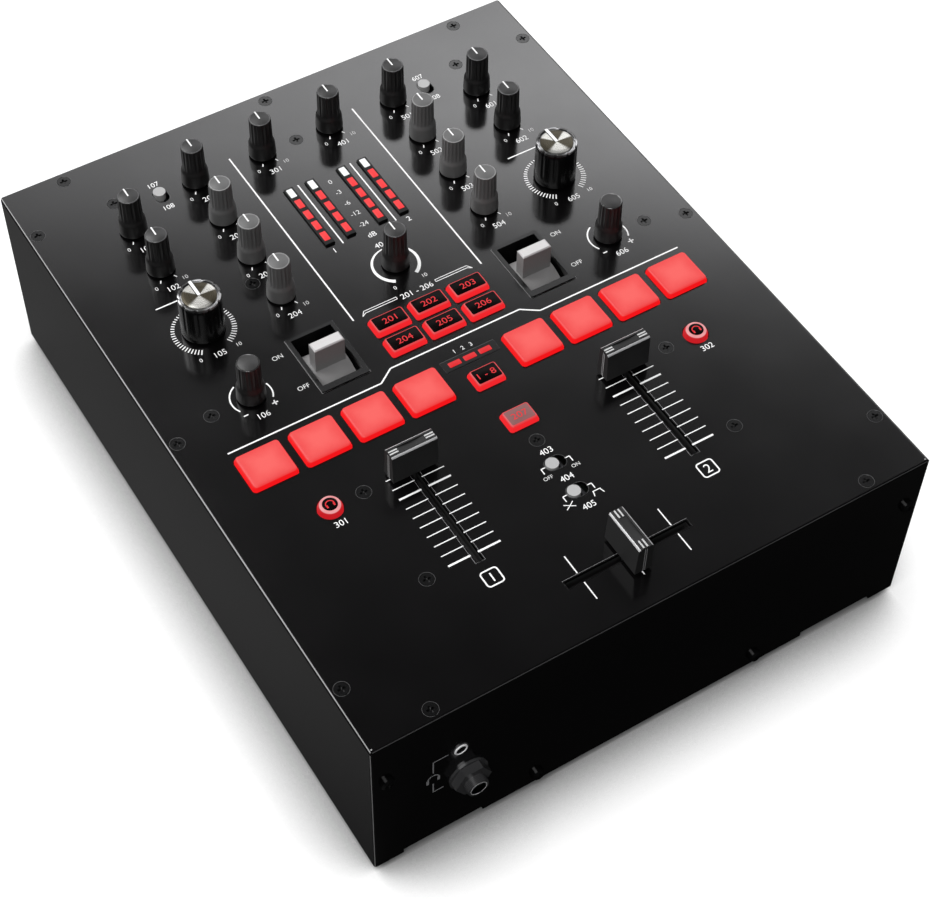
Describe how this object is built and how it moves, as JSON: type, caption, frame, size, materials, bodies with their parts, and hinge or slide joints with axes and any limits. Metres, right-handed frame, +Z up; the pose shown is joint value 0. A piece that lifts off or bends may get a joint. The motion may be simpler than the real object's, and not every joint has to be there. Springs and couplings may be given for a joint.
{
  "type": "dj mixer",
  "caption": "Compact DJ battle mixer: sheet-metal case with knobs, faders, lit performance pads and effect paddles on top, headphone sockets in front.",
  "frame": {"origin": "on the table under the middle of the case, at the feet's underside", "axes": "+X to the right seen from the front, +Y from the front wall to the rear wall, +Z up out of the panel"},
  "size_m": [0.254, 0.334, 0.1125],
  "materials": {
    "case_paint": "satin black powder coat over sheet steel",
    "tray_paint": "matt black powder coat over sheet steel",
    "foot_rubber": "matt black rubber",
    "screw_black": "black oxide steel",
    "board_green": "green circuit board",
    "component": "moulded component bodies and cans",
    "fader_metal": "bare metal fader frames",
    "bezel_black": "matt black moulded plastic",
    "led_lens": "translucent light bars with lit segments",
    "jack_nickel": "black nickel nut and bushing, silver ring",
    "connector": "nickel plated sockets with plastic collars",
    "knob_black": "soft black moulded knob with a pale pointer",
    "knob_grey": "dark grey moulded knob with a pale pointer",
    "knob_gloss": "gloss black knob with a spun metal cap",
    "pad_glow": "translucent pad lit red from inside",
    "button_red": "translucent button lit red around a dark window",
    "switch_cap": "light grey switch cap",
    "cap_black": "black fader cap with silver edges and lines",
    "paddle_grey": "grey moulded paddle with a pale top",
    "rocker_black": "black rocker"
  },
  "bodies": {
    "case": {"top_cover": "case_paint", "base_tray": "tray_paint", "feet": "foot_rubber", "screws": "screw_black", "control_board": "board_green", "main_board": "board_green", "power_supply": "component", "control_bodies": "component", "fader_bodies": "fader_metal", "toggle_bezels": "bezel_black", "led_indicators": "led_lens", "headphone_jacks": "jack_nickel", "rear_connectors": "connector"},
    "tone_knob": {"tone_knob": "knob_black"},
    "mic_knob": {"mic_knob": "knob_black"},
    "cue_mix_knob": {"cue_mix_knob": "knob_black"},
    "cue_gain_knob": {"cue_gain_knob": "knob_black"},
    "gain_knob_1": {"gain_knob_1": "knob_black"},
    "treble_knob_1": {"treble_knob_1": "knob_grey"},
    "mid_knob_1": {"mid_knob_1": "knob_grey"},
    "bass_knob_1": {"bass_knob_1": "knob_grey"},
    "gain_knob_2": {"gain_knob_2": "knob_black"},
    "treble_knob_2": {"treble_knob_2": "knob_grey"},
    "mid_knob_2": {"mid_knob_2": "knob_grey"},
    "bass_knob_2": {"bass_knob_2": "knob_grey"},
    "booth_knob": {"booth_knob": "knob_black"},
    "master_knob": {"master_knob": "knob_black"},
    "fx_knob": {"fx_knob": "knob_black"},
    "filter_knob_1": {"filter_knob_1": "knob_gloss"},
    "filter_knob_2": {"filter_knob_2": "knob_gloss"},
    "loop_knob_1": {"loop_knob_1": "knob_black"},
    "loop_knob_2": {"loop_knob_2": "knob_black"},
    "pad_1": {"pad_1": "pad_glow"},
    "pad_2": {"pad_2": "pad_glow"},
    "pad_3": {"pad_3": "pad_glow"},
    "pad_4": {"pad_4": "pad_glow"},
    "pad_5": {"pad_5": "pad_glow"},
    "pad_6": {"pad_6": "pad_glow"},
    "pad_7": {"pad_7": "pad_glow"},
    "pad_8": {"pad_8": "pad_glow"},
    "fx_button_1": {"fx_button_1": "button_red"},
    "fx_button_2": {"fx_button_2": "button_red"},
    "fx_button_3": {"fx_button_3": "button_red"},
    "fx_button_4": {"fx_button_4": "button_red"},
    "fx_button_5": {"fx_button_5": "button_red"},
    "fx_button_6": {"fx_button_6": "button_red"},
    "pad_mode_button": {"pad_mode_button": "button_red"},
    "tap_button": {"tap_button": "button_red"},
    "cue_button_1": {"cue_button_1": "button_red"},
    "cue_button_2": {"cue_button_2": "button_red"},
    "line_switch_1": {"line_switch_1": "switch_cap"},
    "line_switch_2": {"line_switch_2": "switch_cap"},
    "reverse_switch": {"reverse_switch": "switch_cap"},
    "slope_switch": {"slope_switch": "switch_cap"},
    "channel_fader_1": {"channel_fader_1": "cap_black"},
    "channel_fader_2": {"channel_fader_2": "cap_black"},
    "crossfader": {"crossfader": "cap_black"},
    "fx_paddle_1": {"fx_paddle_1": "paddle_grey"},
    "fx_paddle_2": {"fx_paddle_2": "paddle_grey"},
    "power_rocker": {"power_rocker": "rocker_black"}
  },
  "joints": [
    {"name": "tone_knob_turn", "type": "hinge", "parent": "case", "child": "tone_knob", "pos_m": [-0.0859, 0.11257, 0.0916], "axis": [0, 0, -1], "range_deg": [-150, 150]},
    {"name": "mic_knob_turn", "type": "hinge", "parent": "case", "child": "mic_knob", "pos_m": [-0.0859, 0.08672, 0.0916], "axis": [0, 0, -1], "range_deg": [-150, 150]},
    {"name": "cue_mix_knob_turn", "type": "hinge", "parent": "case", "child": "cue_mix_knob", "pos_m": [0.0859, 0.11257, 0.0916], "axis": [0, 0, -1], "range_deg": [-150, 150]},
    {"name": "cue_gain_knob_turn", "type": "hinge", "parent": "case", "child": "cue_gain_knob", "pos_m": [0.0859, 0.08672, 0.0916], "axis": [0, 0, -1], "range_deg": [-150, 150]},
    {"name": "gain_knob_1_turn", "type": "hinge", "parent": "case", "child": "gain_knob_1", "pos_m": [-0.0497, 0.1255, 0.0916], "axis": [0, 0, -1], "range_deg": [-150, 150]},
    {"name": "treble_knob_1_turn", "type": "hinge", "parent": "case", "child": "treble_knob_1", "pos_m": [-0.0497, 0.09965, 0.0916], "axis": [0, 0, -1], "range_deg": [-150, 150]},
    {"name": "mid_knob_1_turn", "type": "hinge", "parent": "case", "child": "mid_knob_1", "pos_m": [-0.0497, 0.0738, 0.0916], "axis": [0, 0, -1], "range_deg": [-150, 150]},
    {"name": "bass_knob_1_turn", "type": "hinge", "parent": "case", "child": "bass_knob_1", "pos_m": [-0.0497, 0.04795, 0.0916], "axis": [0, 0, -1], "range_deg": [-150, 150]},
    {"name": "gain_knob_2_turn", "type": "hinge", "parent": "case", "child": "gain_knob_2", "pos_m": [0.0497, 0.1255, 0.0916], "axis": [0, 0, -1], "range_deg": [-150, 150]},
    {"name": "treble_knob_2_turn", "type": "hinge", "parent": "case", "child": "treble_knob_2", "pos_m": [0.0497, 0.09965, 0.0916], "axis": [0, 0, -1], "range_deg": [-150, 150]},
    {"name": "mid_knob_2_turn", "type": "hinge", "parent": "case", "child": "mid_knob_2", "pos_m": [0.0497, 0.0738, 0.0916], "axis": [0, 0, -1], "range_deg": [-150, 150]},
    {"name": "bass_knob_2_turn", "type": "hinge", "parent": "case", "child": "bass_knob_2", "pos_m": [0.0497, 0.04795, 0.0916], "axis": [0, 0, -1], "range_deg": [-150, 150]},
    {"name": "booth_knob_turn", "type": "hinge", "parent": "case", "child": "booth_knob", "pos_m": [-0.0168, 0.1255, 0.0916], "axis": [0, 0, -1], "range_deg": [-150, 150]},
    {"name": "master_knob_turn", "type": "hinge", "parent": "case", "child": "master_knob", "pos_m": [0.0168, 0.1255, 0.0916], "axis": [0, 0, -1], "range_deg": [-150, 150]},
    {"name": "fx_knob_turn", "type": "hinge", "parent": "case", "child": "fx_knob", "pos_m": [0, 0.0388, 0.0916], "axis": [0, 0, -1], "range_deg": [-150, 150]},
    {"name": "filter_knob_1_turn", "type": "hinge", "parent": "case", "child": "filter_knob_1", "pos_m": [-0.0859, 0.04795, 0.0916], "axis": [0, 0, -1], "range_deg": [-150, 150]},
    {"name": "filter_knob_2_turn", "type": "hinge", "parent": "case", "child": "filter_knob_2", "pos_m": [0.0859, 0.04795, 0.0916], "axis": [0, 0, -1], "range_deg": [-150, 150]},
    {"name": "loop_knob_1_turn", "type": "hinge", "parent": "case", "child": "loop_knob_1", "pos_m": [-0.0859, 0.0063, 0.0916], "axis": [0, 0, -1], "continuous": true},
    {"name": "loop_knob_2_turn", "type": "hinge", "parent": "case", "child": "loop_knob_2", "pos_m": [0.0859, 0.0063, 0.0916], "axis": [0, 0, -1], "continuous": true},
    {"name": "pad_1_press", "type": "slide", "parent": "case", "child": "pad_1", "axis": [0, 0, -1], "range_m": [0, 0.0008], "stiffness_N_per_m": 600, "springref_m": -0.0004},
    {"name": "pad_2_press", "type": "slide", "parent": "case", "child": "pad_2", "axis": [0, 0, -1], "range_m": [0, 0.0008], "stiffness_N_per_m": 600, "springref_m": -0.0004},
    {"name": "pad_3_press", "type": "slide", "parent": "case", "child": "pad_3", "axis": [0, 0, -1], "range_m": [0, 0.0008], "stiffness_N_per_m": 600, "springref_m": -0.0004},
    {"name": "pad_4_press", "type": "slide", "parent": "case", "child": "pad_4", "axis": [0, 0, -1], "range_m": [0, 0.0008], "stiffness_N_per_m": 600, "springref_m": -0.0004},
    {"name": "pad_5_press", "type": "slide", "parent": "case", "child": "pad_5", "axis": [0, 0, -1], "range_m": [0, 0.0008], "stiffness_N_per_m": 600, "springref_m": -0.0004},
    {"name": "pad_6_press", "type": "slide", "parent": "case", "child": "pad_6", "axis": [0, 0, -1], "range_m": [0, 0.0008], "stiffness_N_per_m": 600, "springref_m": -0.0004},
    {"name": "pad_7_press", "type": "slide", "parent": "case", "child": "pad_7", "axis": [0, 0, -1], "range_m": [0, 0.0008], "stiffness_N_per_m": 600, "springref_m": -0.0004},
    {"name": "pad_8_press", "type": "slide", "parent": "case", "child": "pad_8", "axis": [0, 0, -1], "range_m": [0, 0.0008], "stiffness_N_per_m": 600, "springref_m": -0.0004},
    {"name": "fx_button_1_press", "type": "slide", "parent": "case", "child": "fx_button_1", "axis": [0, 0, -1], "range_m": [0, 0.0008], "stiffness_N_per_m": 600, "springref_m": -0.0004},
    {"name": "fx_button_2_press", "type": "slide", "parent": "case", "child": "fx_button_2", "axis": [0, 0, -1], "range_m": [0, 0.0008], "stiffness_N_per_m": 600, "springref_m": -0.0004},
    {"name": "fx_button_3_press", "type": "slide", "parent": "case", "child": "fx_button_3", "axis": [0, 0, -1], "range_m": [0, 0.0008], "stiffness_N_per_m": 600, "springref_m": -0.0004},
    {"name": "fx_button_4_press", "type": "slide", "parent": "case", "child": "fx_button_4", "axis": [0, 0, -1], "range_m": [0, 0.0008], "stiffness_N_per_m": 600, "springref_m": -0.0004},
    {"name": "fx_button_5_press", "type": "slide", "parent": "case", "child": "fx_button_5", "axis": [0, 0, -1], "range_m": [0, 0.0008], "stiffness_N_per_m": 600, "springref_m": -0.0004},
    {"name": "fx_button_6_press", "type": "slide", "parent": "case", "child": "fx_button_6", "axis": [0, 0, -1], "range_m": [0, 0.0008], "stiffness_N_per_m": 600, "springref_m": -0.0004},
    {"name": "pad_mode_button_press", "type": "slide", "parent": "case", "child": "pad_mode_button", "axis": [0, 0, -1], "range_m": [0, 0.0008], "stiffness_N_per_m": 600, "springref_m": -0.0004},
    {"name": "tap_button_press", "type": "slide", "parent": "case", "child": "tap_button", "axis": [0, 0, -1], "range_m": [0, 0.0008], "stiffness_N_per_m": 600, "springref_m": -0.0004},
    {"name": "cue_button_1_press", "type": "slide", "parent": "case", "child": "cue_button_1", "axis": [0, 0, -1], "range_m": [0, 0.0008], "stiffness_N_per_m": 600, "springref_m": -0.0004},
    {"name": "cue_button_2_press", "type": "slide", "parent": "case", "child": "cue_button_2", "axis": [0, 0, -1], "range_m": [0, 0.0008], "stiffness_N_per_m": 600, "springref_m": -0.0004},
    {"name": "line_switch_1_slide", "type": "slide", "parent": "case", "child": "line_switch_1", "axis": [0, 1, 0], "range_m": [-0.003, 0]},
    {"name": "line_switch_2_slide", "type": "slide", "parent": "case", "child": "line_switch_2", "axis": [0, 1, 0], "range_m": [-0.003, 0]},
    {"name": "reverse_switch_slide", "type": "slide", "parent": "case", "child": "reverse_switch", "axis": [1, 0, 0], "range_m": [0, 0.003]},
    {"name": "slope_switch_slide", "type": "slide", "parent": "case", "child": "slope_switch", "axis": [1, 0, 0], "range_m": [0, 0.003]},
    {"name": "channel_fader_1_slide", "type": "slide", "parent": "case", "child": "channel_fader_1", "axis": [0, 1, 0], "range_m": [-0.045, 0]},
    {"name": "channel_fader_2_slide", "type": "slide", "parent": "case", "child": "channel_fader_2", "axis": [0, 1, 0], "range_m": [-0.045, 0]},
    {"name": "crossfader_slide", "type": "slide", "parent": "case", "child": "crossfader", "axis": [1, 0, 0], "range_m": [-0.0225, 0.0225]},
    {"name": "fx_paddle_1_tilt", "type": "hinge", "parent": "case", "child": "fx_paddle_1", "pos_m": [-0.0497, 0.0088, 0.0713], "axis": [1, 0, 0], "range_deg": [-12, 12]},
    {"name": "fx_paddle_2_tilt", "type": "hinge", "parent": "case", "child": "fx_paddle_2", "pos_m": [0.0497, 0.0088, 0.0713], "axis": [1, 0, 0], "range_deg": [-12, 12]},
    {"name": "power_rocker_rock", "type": "hinge", "parent": "case", "child": "power_rocker", "pos_m": [0.098, 0.15625, 0.06], "axis": [0, 0, 1], "range_deg": [-14, 0]}
  ]
}
